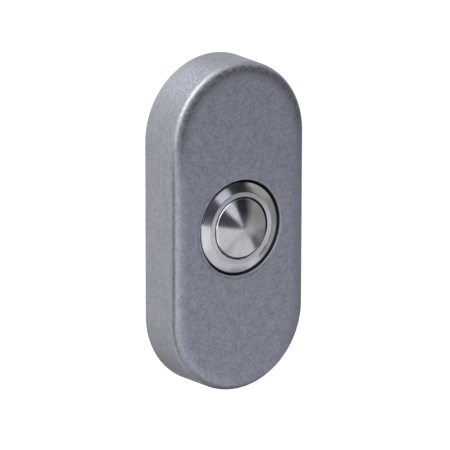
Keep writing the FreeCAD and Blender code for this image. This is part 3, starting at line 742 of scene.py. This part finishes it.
def drawn_metal(name, tint, roughness=0.3):
    """Wire or strip with fine lengthwise marks and a slight tarnish."""
    finish = Finish(name, tint, metallic=1.0, roughness=roughness)
    tarnish = finish.noise(0.8, 4.0, 0.6, distortion=0.4)
    grain = finish.noise(7.0, 3.0, 0.65)
    deep = multiplied(tint, (0.78, 0.72, 0.66))
    finish.set("Base Color", finish.blend(tarnish.fitted((0.42, 0.75)), tint, deep))
    finish.set("Roughness", tarnish.fitted((0.3, 0.75), roughness - 0.06, roughness + 0.14))
    finish.set("Normal", finish.relief(grain, 0.006 * MM, 0.5))
    return finish


def moulded_plastic(name, tint, roughness):
    """Moulded plastic with a fine spark-eroded grain and slight gloss changes."""
    finish = Finish(name, tint, metallic=0.0, roughness=roughness)
    grain = finish.noise(5.5, 3.0, 0.6)
    flow = finish.noise(0.35, 3.0, 0.5, distortion=0.8)
    rough = flow.ramped(INNER, roughness - 0.05, roughness + 0.05)
    finish.set("Base Color", finish.toned(tint, flow.ramped(INNER, 0.93, 1.05)))
    finish.set("Roughness", rough + grain.ramped(OUTER, -0.05, 0.05))
    finish.set("Normal", finish.relief(grain, 0.02 * MM, 0.45))
    return finish


def moulded_rubber(name, tint):
    """Dull rubber with dust in its pores."""
    finish = Finish(name, tint, metallic=0.0, roughness=0.72, specular=0.35)
    dust_and_painted_shade = finish.noise(1.2, 4.0, 0.65)
    dusty = tuple(part + 0.02 for part in tint)
    finish.set("Base Color", finish.blend(dust_and_painted_shade.fitted((0.5, 0.75)), tint, dusty))
    finish.set("Roughness", dust_and_painted_shade.fitted(INNER, 0.66, 0.82))
    finish.set("Normal", finish.relief(finish.cells(7.0), 0.015 * MM, 0.4))
    return finish


# Pieces

class DOORBELL_OT_cover(bpy.types.Operator):
    """Builds the hollow housing with its ribs, ledge and screw boss"""

    bl_idname = "doorbell.cover"
    bl_label = "Housing Cover"

    def execute(self, context):
        cover = context.scene.doorbell_cover
        end_radius = cover.width / 2
        half_length = cover.height / 2 - end_radius
        slope = math.tan(cover.draft)
        inner = end_radius - cover.side_wall
        cavity_front = cover.depth - cover.front_wall
        small = cover.edge_break

        def narrowed(radius, depth):
            return radius - slope * depth

        outside = rounded([
            (0.0, cover.depth),
            (narrowed(end_radius, cover.depth), cover.depth, cover.front_round, 18),
            (end_radius, 0.0, cover.back_round, 6),
            (inner, 0.0, small),
            (narrowed(inner, cavity_front), cavity_front, cover.cavity_round, 8),
            (0.0, cavity_front),
        ], closed=False)[1:-1]
        inside = rounded([
            (end_radius, cavity_front),
            (cover.seat_radius, cavity_front, small),
            (cover.seat_radius, cover.seat_depth, small),
            (cover.hole_radius, cover.seat_depth, small),
            (cover.hole_radius, cover.recess_floor, small),
            (cover.recess_radius, cover.recess_floor, small),
            (cover.recess_radius, cover.depth - cover.recess_roll, cover.recess_round, 8),
            (cover.recess_radius + cover.roll_width, cover.depth, cover.roll_width, 8),
            (end_radius, cover.depth),
        ], closed=False)[1:-1]
        places = oblong_directions(half_length, cover.arc_steps, cover.side_steps)
        spread = [
            math.atan2(middle + inner * math.sin(a), inner * math.cos(a)) for a, middle in places
        ]
        rings = [oblong_ring(point.x, point.y, places) for point in outside]
        rings += [circle_ring(point.x, point.y, spread) for point in inside]
        piece = placed("housing_cover", skinned(rings, closed=True))

        root = cover.side_wall / 2
        tools = []
        for x in (-1, 1):
            for z in (-1, 1):
                ends = sorted((x * (inner - cover.rib_reach), x * (inner + root)))
                low = (ends[0], -cavity_front - root, z * cover.rib_height - cover.rib_width / 2)
                high = (ends[1], -cover.rib_back, z * cover.rib_height + cover.rib_width / 2)
                tools.append(bar("rib", low, high, small))
        top = half_length + inner + root
        side = cover.ledge_width / 2
        ledge_front = cover.ledge_start + cover.ledge_thickness
        tools.append(bar(
            "ledge", (-side, -ledge_front, cover.ledge_height), (side, -cover.ledge_start, top),
            small,
        ))
        tools.append(upright(
            "boss", cover.boss_radius, cover.screw_depth, -top, -cover.ledge_height, small,
        ))
        combined(piece, tools, "UNION")
        hole = upright(
            "screw_hole", cover.screw_hole, cover.screw_depth,
            -cover.height, -cover.ledge_height / 2, small,
        )
        combined(piece, [hole], "DIFFERENCE")
        smoothed(piece)
        cast_metal(cover).dress(piece)
        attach(piece, "housing")
        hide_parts("cover")
        return {"FINISHED"}


class DOORBELL_OT_bezel(bpy.types.Operator):
    """Builds the turned ring with its bevel, threaded barrel and stepped bore"""

    bl_idname = "doorbell.bezel"
    bl_label = "Bezel Ring"

    def execute(self, context):
        ring = context.scene.doorbell_button
        soft, crisp = ring.edge_round, ring.fine_round
        thread_front = ring.relief_back - (ring.barrel_radius - ring.relief_radius)
        thread_back = ring.barrel_back + ring.barrel_chamfer
        rows = round((thread_front - thread_back) / ring.thread_pitch * ring.pitch_steps)
        thread = [
            (ring.barrel_radius, thread_front + (thread_back - thread_front) * row / rows)
            for row in range(rows + 1)
        ]
        profile = rounded([
            (ring.lip_radius, ring.lip_back, crisp),
            (ring.lip_radius, ring.land_depth, soft, 6),
            (ring.lip_radius + 2 * soft, ring.land_depth),
            (ring.land_radius - ring.land_round / 4, ring.land_depth),
            (ring.land_radius, ring.land_depth, ring.land_round, 8),
            (ring.bevel_radius, ring.bevel_depth, ring.bevel_round, 10),
            (ring.rim_radius, ring.rim_depth, ring.rim_round, 14),
            (ring.rim_radius, ring.flange_back, crisp),
            (ring.relief_radius, ring.flange_back, crisp),
            (ring.relief_radius, ring.relief_back, crisp),
            *thread,
            (ring.barrel_radius - ring.barrel_chamfer, ring.barrel_back, crisp),
            (ring.cup_bore, ring.barrel_back, crisp),
            (ring.cup_bore, ring.snap_back, crisp),
            (ring.snap_radius, ring.snap_back),
            (ring.snap_radius, ring.snap_front),
            (ring.cup_bore, ring.snap_front, crisp),
            (ring.cup_bore, ring.bore_step),
            (ring.cap_bore, ring.bore_step, crisp),
            (ring.cap_bore, ring.lip_back),
        ])
        run_out = ring.thread_pitch / 2
        floor, steepness = 1.25, 3.2

        def cut_depth(depth, turn):
            """Depth of the thread's groove at one place on the barrel."""
            phase = (depth / ring.thread_pitch - turn / (2 * math.pi)) % 1.0
            flank = min(1.0, max(0.0, floor - abs(phase - 0.5) * steepness))
            ends = min(1.0, (thread_front - depth) / run_out, (depth - thread_back) / run_out)
            return ring.thread_depth * flank * max(0.0, ends)

        angles = even_angles(ring.turn_steps)
        rings = []
        for point in profile:
            on_barrel = abs(point.x - ring.barrel_radius) < TINY
            if on_barrel and thread_back < point.y < thread_front:
                cut = [(point.x - cut_depth(point.y, a), a) for a in angles]
                rings.append([(r * math.cos(a), -point.y, r * math.sin(a)) for r, a in cut])
            else:
                rings.append(circle_ring(point.x, point.y, angles))
        piece = smoothed(placed("bezel_ring", skinned(rings, closed=True)))
        steel = turned_steel(
            "Turned Steel Ring", ring, ring.bezel_colour, roughness=0.17, spread=0.78, gap_shade_amount=0.97,
        )
        steel.dress(piece)
        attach(piece, "housing")
        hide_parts("bezel")
        return {"FINISHED"}


class DOORBELL_OT_cap(bpy.types.Operator):
    """Builds the turned cap with its cone, shoulder, seal groove and pocket"""

    bl_idname = "doorbell.cap"
    bl_label = "Push Cap"

    def execute(self, context):
        cap = context.scene.doorbell_button
        crisp = cap.fine_round
        slope = cap.cone_rise / cap.cap_radius
        flat = cap.tip_slope
        shoulder = cap.cap_rim + slope * (cap.cap_radius - cap.dome_radius)
        dome = []
        for step in range(cap.dome_steps):
            out = step / cap.dome_steps
            rise = flat * (1 - out) + (1 - flat) * (1 - out ** 2) / 2
            dome.append((cap.dome_radius * out, shoulder + slope * cap.dome_radius * rise))
        profile = rounded([
            *dome,
            (cap.dome_radius, shoulder),
            (cap.cap_radius, cap.cap_rim, cap.cap_round, 12),
            (cap.cap_radius, cap.shoulder_front),
            (cap.shoulder_radius, cap.shoulder_front, crisp),
            (cap.shoulder_radius, cap.groove_front, crisp),
            (cap.groove_radius, cap.groove_front),
            (cap.groove_radius, cap.groove_back),
            (cap.shoulder_radius, cap.groove_back, crisp),
            (cap.shoulder_radius, cap.shoulder_back, crisp),
            (cap.pocket_radius, cap.shoulder_back, crisp),
            (cap.pocket_radius, cap.pocket_front, crisp),
            (0.0, cap.pocket_front),
        ], closed=False)
        angles = even_angles(cap.turn_steps)
        rings = [circle_ring(point.x, point.y, angles) for point in profile[1:-1]]
        rings = [[(0.0, -profile[0].y, 0.0)]] + rings + [[(0.0, -profile[-1].y, 0.0)]]
        piece = smoothed(placed("button_cap", skinned(rings, closed=False)))
        steel = turned_steel(
            "Turned Steel Cap", cap, cap.cap_colour, roughness=0.155, spread=0.76, gap_shade_amount=0.8,
        )
        steel.dress(piece)
        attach(piece, "push_button")
        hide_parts("push_cap")
        return {"FINISHED"}


class DOORBELL_OT_spring(bpy.types.Operator):
    """Coils the return spring, with its end turns closed"""

    bl_idname = "doorbell.spring"
    bl_label = "Return Spring"

    def execute(self, context):
        inside = context.scene.doorbell_inside
        wire = inside.wire_radius
        coil = SPRING_HIGH.x - wire
        back = -SPRING_HIGH.y + wire
        front = -SPRING_LOW.y - wire
        closed_turns = 0.75
        flat_share = closed_turns / inside.spring_turns
        steps = inside.spring_turns * inside.coil_steps
        rings = []
        for step in range(steps + 1):
            travelled = step / steps
            climb = min(1.0, max(0.0, (travelled - flat_share) / (1 - 2 * flat_share)))
            turn = 2 * math.pi * inside.spring_turns * travelled
            outward = Vector((math.cos(turn), 0.0, math.sin(turn)))
            centre = outward * coil + Vector((0.0, (back - front) * climb - back, 0.0))
            rings.append([
                centre + wire * (outward * math.cos(a) + Vector((0.0, math.sin(a), 0.0)))
                for a in even_angles(inside.wire_sides)
            ])
        mesh = skinned(rings, closed=False)
        bmesh.ops.holes_fill(mesh, edges=[edge for edge in mesh.edges if edge.is_boundary])
        bmesh.ops.recalc_face_normals(mesh, faces=mesh.faces)
        piece = smoothed(placed("return_spring_wire", mesh), crease=50 * DEGREE)
        drawn_metal("Spring Steel Wire", inside.spring_colour, roughness=0.26).dress(piece)
        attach(piece, "housing")
        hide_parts("return_spring")
        joint = next(j for j in frame["joints"] if j["name"] == "button_press")
        shut = max(abs(limit) for limit in joint["range_m"])
        keep = 1 - shut / (SPRING_HIGH.y - SPRING_LOW.y)
        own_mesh(piece)
        return {"FINISHED"}


def dress_nodes(finish, *names):
    """Gives a finish to solids that the scene shows as they are."""
    finish.dress(*(frame["nodes"][name] for name in names))


class DOORBELL_OT_switch(bpy.types.Operator):
    """Gives the pieces of the switch their metals, plastics and rubber"""

    bl_idname = "doorbell.switch"
    bl_label = "Switch Pieces"

    def execute(self, context):
        inside = context.scene.doorbell_inside
        black = moulded_plastic("Black Moulded Plastic", inside.cup_colour, roughness=0.42)
        white = moulded_plastic("White Moulded Plastic", inside.plunger_colour, roughness=0.32)
        rubber = moulded_rubber("Black Rubber", inside.rubber_colour)
        brass = drawn_metal("Contact Brass", inside.brass_colour)
        strip = drawn_metal("Spring Steel Strip", inside.spring_colour)
        nickel = plated_steel("Nickel Plate", inside.nickel_colour, roughness=0.2)
        dress_nodes(black, "switch_housing")
        dress_nodes(white, "plunger")
        dress_nodes(rubber, "flange_seal", "cap_seal")
        dress_nodes(strip, "stem_clip", "retaining_ring")
        dress_nodes(brass, "contact_bridge")
        for side in ("left", "right"):
            dress_nodes(brass, "fixed_contact_" + side, "clamp_washer_" + side)
            dress_nodes(nickel, "terminal_screw_" + side)
        return {"FINISHED"}


class DOORBELL_OT_fixings(bpy.types.Operator):
    """Gives the base plate, nut, washer and cover screw their metals"""

    bl_idname = "doorbell.fixings"
    bl_label = "Plate and Fixings"

    def execute(self, context):
        inside = context.scene.doorbell_inside
        zinc = plated_steel("Zinc Plate", inside.zinc_colour)
        dark = plated_steel("Blackened Steel", inside.black_steel_colour, roughness=0.42)
        dress_nodes(zinc, "base_plate", "lock_nut", "lock_washer")
        dress_nodes(dark, "cover_screw")
        return {"FINISHED"}


# Reflection cards stand round the object, out of the camera's sight, and are what the
# polished ring and cap mirror. Each has its distance, the azimuth and elevation of its
# corners in degrees, from the front and to the right, and its shade. The corners are low
# left, low right, high right and high left. The nearer of two cards hides the other.
CARDS = {
    "window_low": (0.54, ((22.3, -4), (29.9, -4), (25.2, 7), (12.2, 7)), (0.88, 0.92, 1.0)),
    "window_high": (0.54, ((12.6, 7), (25.2, 7), (21, 20), (2, 20)), (0.78, 0.81, 0.92)),
    "dark_corner": (
        0.58, ((48.3, -24.6), (61, -34.6), (66.5, -28), (52, -21)), (0.015, 0.015, 0.03)),
    "grey_corner": (0.59, ((52, -22.5), (63, -28), (66, -18), (54, -17)), (0.16, 0.16, 0.17)),
    "dark_right": (0.60, ((22, -13), (39.5, -13.5), (42, 24), (17, 24)), (0.010, 0.010, 0.016)),
    "grey_right": (0.61, ((37.5, -13), (45, -13), (46.5, 24), (42, 24)), (0.13, 0.132, 0.135)),
    "dark_top": (0.60, ((16, 24), (54, 24), (56, 40), (16, 40)), (0.02, 0.02, 0.025)),
    "dark_left": (0.615, ((-22, -3.5), (24, -13.6), (20, 24), (-22, 24)), (0.045, 0.045, 0.06)),
    "grey_left": (0.612, ((-14, -5.4), (5, -9.6), (8, 0), (-12, 0)), (0.11, 0.11, 0.13)),
    "wall_low": (0.62, ((56, -24.5), (88, -28), (88, 0), (43.5, 0)), (0.29, 0.295, 0.28)),
    "wall_high": (0.62, ((43.5, 0), (88, 0), (88, 18), (43.5, 18)), (0.44, 0.445, 0.42)),
    "wall_edge": (0.61, ((66, -34), (88, -34), (88, -16), (69, -16)), (0.46, 0.46, 0.48)),
    "wall_far": (0.64, ((88, -14), (126, -14), (126, 36), (88, 36)), (0.70, 0.70, 0.71)),
    "ceiling": (0.66, ((56, 42), (118, 38), (118, 74), (56, 74)), (0.80, 0.80, 0.82)),
    "table": (0.66, ((-35, -48), (150, -48), (150, -8), (-35, -8)), (0.76, 0.76, 0.79)),
    "table_left": (0.63, ((-12, -29), (3, -29), (8, -6), (-12, -6)), (1.05, 1.05, 1.07)),
    "table_far": (0.63, ((-70, -31), (-12, -31), (-12, -6), (-70, -6)), (0.80, 0.80, 0.82)),
    "table_flat": (0.60, ((22, -20), (48, -20), (48, -14.6), (22, -14.6)), (0.78, 0.78, 0.82)),
    "table_low": (0.61, ((27, -27), (50, -27), (47, -20), (24, -20)), (0.58, 0.58, 0.61)),
    "table_streak": (0.62, ((16, -35), (27, -35), (24, -27), (18, -27)), (0.48, 0.48, 0.51)),
    "table_shade": (0.64, ((32, -48), (64, -48), (58, -41), (38, -41)), (0.42, 0.42, 0.45)),
    "table_near": (0.66, ((-60, -88), (150, -88), (150, -48), (-60, -48)), (0.20, 0.20, 0.22)),
    "low_back": (0.66, ((120, -70), (212, -70), (212, -22), (120, -22)), (0.24, 0.24, 0.25)),
    "left_back": (0.66, ((212, -40), (290, -40), (290, -2), (212, -2)), (0.84, 0.85, 0.85)),
    "right_back": (0.66, ((126, -8), (164, -8), (164, 40), (126, 40)), (0.72, 0.72, 0.74)),
    "high_back": (0.64, ((164, 22), (222, 22), (222, 64), (164, 64)), (1.38, 1.39, 1.44)),
}

CARD_STEPS = 24

# How far below the object a card reaches at most, as a share of its distance, so that it
# stays clear of the floor
LOWEST_REACH = 0.22


def pointing(azimuth, elevation):
    """Unit vector to a place round the object: azimuth from the front to the right."""
    a, e = azimuth * DEGREE, elevation * DEGREE
    return Vector((math.sin(a) * math.cos(e), -math.cos(a) * math.cos(e), math.sin(e)))


class DOORBELL_OT_stage(bpy.types.Operator):
    """Sets the floor, the reflection cards, the lamps and the camera"""

    bl_idname = "doorbell.stage"
    bl_label = "Stage"

    def execute(self, context):
        stage = context.scene.doorbell_stage
        self.set_floor(stage)
        self.set_cards()
        self.set_world(context.scene, stage)
        self.set_lamp(
            "key", direction=(-72.0, 57.0), distance=0.75, size=(0.24, 0.84),
            power=stage.key_power,
        )
        self.set_lamp(
            "fill", direction=(-60.0, 5.0), distance=0.9, size=(0.60, 0.60),
            power=stage.fill_power,
        )
        self.set_camera(context.scene, stage)
        context.scene.view_settings.view_transform = "Standard"
        return {"FINISHED"}

    def seen_directly(self, tree):
        """A socket that is 1 for what the camera, a mirror or a glass sees."""
        path = tree.nodes.new("ShaderNodeLightPath")
        result = path.outputs["Is Camera Ray"]
        for other in ("Is Glossy Ray", "Is Transmission Ray"):
            either = tree.nodes.new("ShaderNodeMath")
            either.operation = "MAXIMUM"
            tree.links.new(result, either.inputs[0])
            tree.links.new(path.outputs[other], either.inputs[1])
            result = either.outputs[0]
        return result

    def set_floor(self, stage):
        """A wide pale floor that shows white and keeps the object's shadow."""
        mesh = bmesh.new()
        bmesh.ops.create_circle(
            mesh, cap_ends=True, radius=stage.floor_radius, segments=stage.floor_steps,
        )
        bmesh.ops.translate(mesh, vec=(0, 0, stage.floor_height), verts=mesh.verts)
        floor = placed("floor", mesh)
        tint = stage.floor_colour
        finish = Finish("Pale Floor", tint, metallic=0.0, roughness=0.9, specular=0.0)
        seen = self.seen_directly(finish.tree)
        lift = finish.node("MapRange", {"Value": seen, "To Max": stage.floor_glow})
        finish.set("Emission Color", (1.0, 1.0, 1.0, 1.0))
        finish.set("Emission Strength", lift.outputs[0])
        finish.dress(floor)

    def set_cards(self):
        """Cards that only reflections see."""
        for name, (distance, corners, shade) in CARDS.items():
            low_left, low_right, high_right, high_left = (Vector(corner) for corner in corners)
            mesh = bmesh.new()
            shares = [step / CARD_STEPS for step in range(CARD_STEPS + 1)]
            rows = []
            for up in shares:
                left, right = low_left.lerp(high_left, up), low_right.lerp(high_right, up)
                points = [self.standing(left.lerp(right, across), distance) for across in shares]
                rows.append([mesh.verts.new(point) for point in points])
            for first, second in zip(rows, rows[1:]):
                for step in range(CARD_STEPS):
                    mesh.faces.new((first[step], first[step + 1], second[step + 1], second[step]))
            card = placed("card_" + name, mesh)
            black = (0.0, 0.0, 0.0)
            finish = Finish("Card " + name, black, metallic=0.0, roughness=1.0, specular=0.0)
            finish.set("Emission Color", (*shade, 1.0))
            finish.set("Emission Strength", 1.0)
            finish.dress(card)
            card.visible_camera = False
            card.visible_diffuse = False
            card.visible_shadow = False
            card.visible_transmission = False

    def standing(self, place, distance):
        """A point of a card in one direction, kept above the floor."""
        direction = pointing(*place)
        clear = LOWEST_REACH / max(LOWEST_REACH, -direction.z)
        return direction * (distance * clear)

    def set_world(self, scene, stage):
        """White where it is seen directly or mirrored, and a plain level as light."""
        scene.world = bpy.data.worlds.new("room")
        scene.world.use_nodes = True
        tree = scene.world.node_tree
        level = tree.nodes.new("ShaderNodeMapRange")
        level.inputs["To Min"].default_value = stage.world_level
        level.inputs["To Max"].default_value = 1.0
        tree.links.new(self.seen_directly(tree), level.inputs["Value"])
        background = tree.nodes["Background"]
        background.inputs["Color"].default_value = (1.0, 1.0, 1.0, 1.0)
        tree.links.new(level.outputs[0], background.inputs["Strength"])

    def set_lamp(self, name, direction, distance, size, power):
        """A soft lamp that looks at the object. Its size is a width and a height."""
        data = bpy.data.lights.new(name, "AREA")
        data.shape = "RECTANGLE"
        data.size, data.size_y = size
        data.energy = power
        lamp = bpy.data.objects.new(name, data)
        lamp.location = pointing(*direction) * distance
        lamp.rotation_euler = lamp.location.to_track_quat("Z", "Y").to_euler()
        lamp.visible_camera = False
        bpy.context.scene.collection.objects.link(lamp)

    def set_camera(self, scene, stage):
        """The camera, at the angle that the housing is seen from."""
        back = pointing(stage.view_azimuth / DEGREE, stage.view_elevation / DEGREE)
        right = Vector((math.cos(stage.view_azimuth), math.sin(stage.view_azimuth), 0.0))
        up = back.cross(right)
        axes = Matrix((right, up, back)).transposed() @ Matrix.Rotation(stage.view_roll, 3, "Z")
        right, up = axes.col[0], axes.col[1]
        data = bpy.data.cameras.new("camera")
        data.lens = stage.lens
        data.sensor_width = 36.0
        data.clip_end = 20.0
        camera = bpy.data.objects.new("camera", data)
        place = back * stage.view_distance + right * stage.view_right + up * stage.view_up
        camera.matrix_world = Matrix.Translation(place) @ axes.to_4x4()
        scene.collection.objects.link(camera)
        scene.camera = camera


class DOORBELL_PT_panel(bpy.types.Panel):
    """Lists the pieces and their settings in the sidebar"""

    bl_idname = "DOORBELL_PT_panel"
    bl_label = "Doorbell Button"
    bl_space_type = "VIEW_3D"
    bl_region_type = "UI"
    bl_category = "Doorbell"

    def draw(self, context):
        for group, operators in GROUPS.items():
            settings = getattr(context.scene, group)
            box = self.layout.box()
            for name in settings.bl_rna.properties.keys():
                if name not in ("rna_type", "name"):
                    box.prop(settings, name)
            for operator in operators:
                box.operator(operator.bl_idname)


SETTINGS = {
    "doorbell_cover": CoverSettings,
    "doorbell_button": ButtonSettings,
    "doorbell_inside": InsideSettings,
    "doorbell_stage": StageSettings,
}
GROUPS = {
    "doorbell_cover": (DOORBELL_OT_cover,),
    "doorbell_button": (DOORBELL_OT_bezel, DOORBELL_OT_cap),
    "doorbell_inside": (DOORBELL_OT_spring, DOORBELL_OT_switch, DOORBELL_OT_fixings),
    "doorbell_stage": (DOORBELL_OT_stage,),
}
OPERATORS = [operator for group in GROUPS.values() for operator in group]
CLASSES = [*SETTINGS.values(), *OPERATORS, DOORBELL_PT_panel]


def register():
    """Adds the settings, the operators and the panel."""
    for entry in CLASSES:
        bpy.utils.register_class(entry)
    for name, settings in SETTINGS.items():
        setattr(bpy.types.Scene, name, PointerProperty(type=settings))


def unregister():
    """Removes what register added."""
    for name in SETTINGS:
        delattr(bpy.types.Scene, name)
    for entry in reversed(CLASSES):
        bpy.utils.unregister_class(entry)


def main():
    """Builds every piece and the stage."""
    register()
    bpy.ops.doorbell.cover()
    bpy.ops.doorbell.bezel()
    bpy.ops.doorbell.cap()
    bpy.ops.doorbell.spring()
    bpy.ops.doorbell.switch()
    bpy.ops.doorbell.fixings()
    bpy.ops.doorbell.stage()


if __name__ == "__main__":
    main()
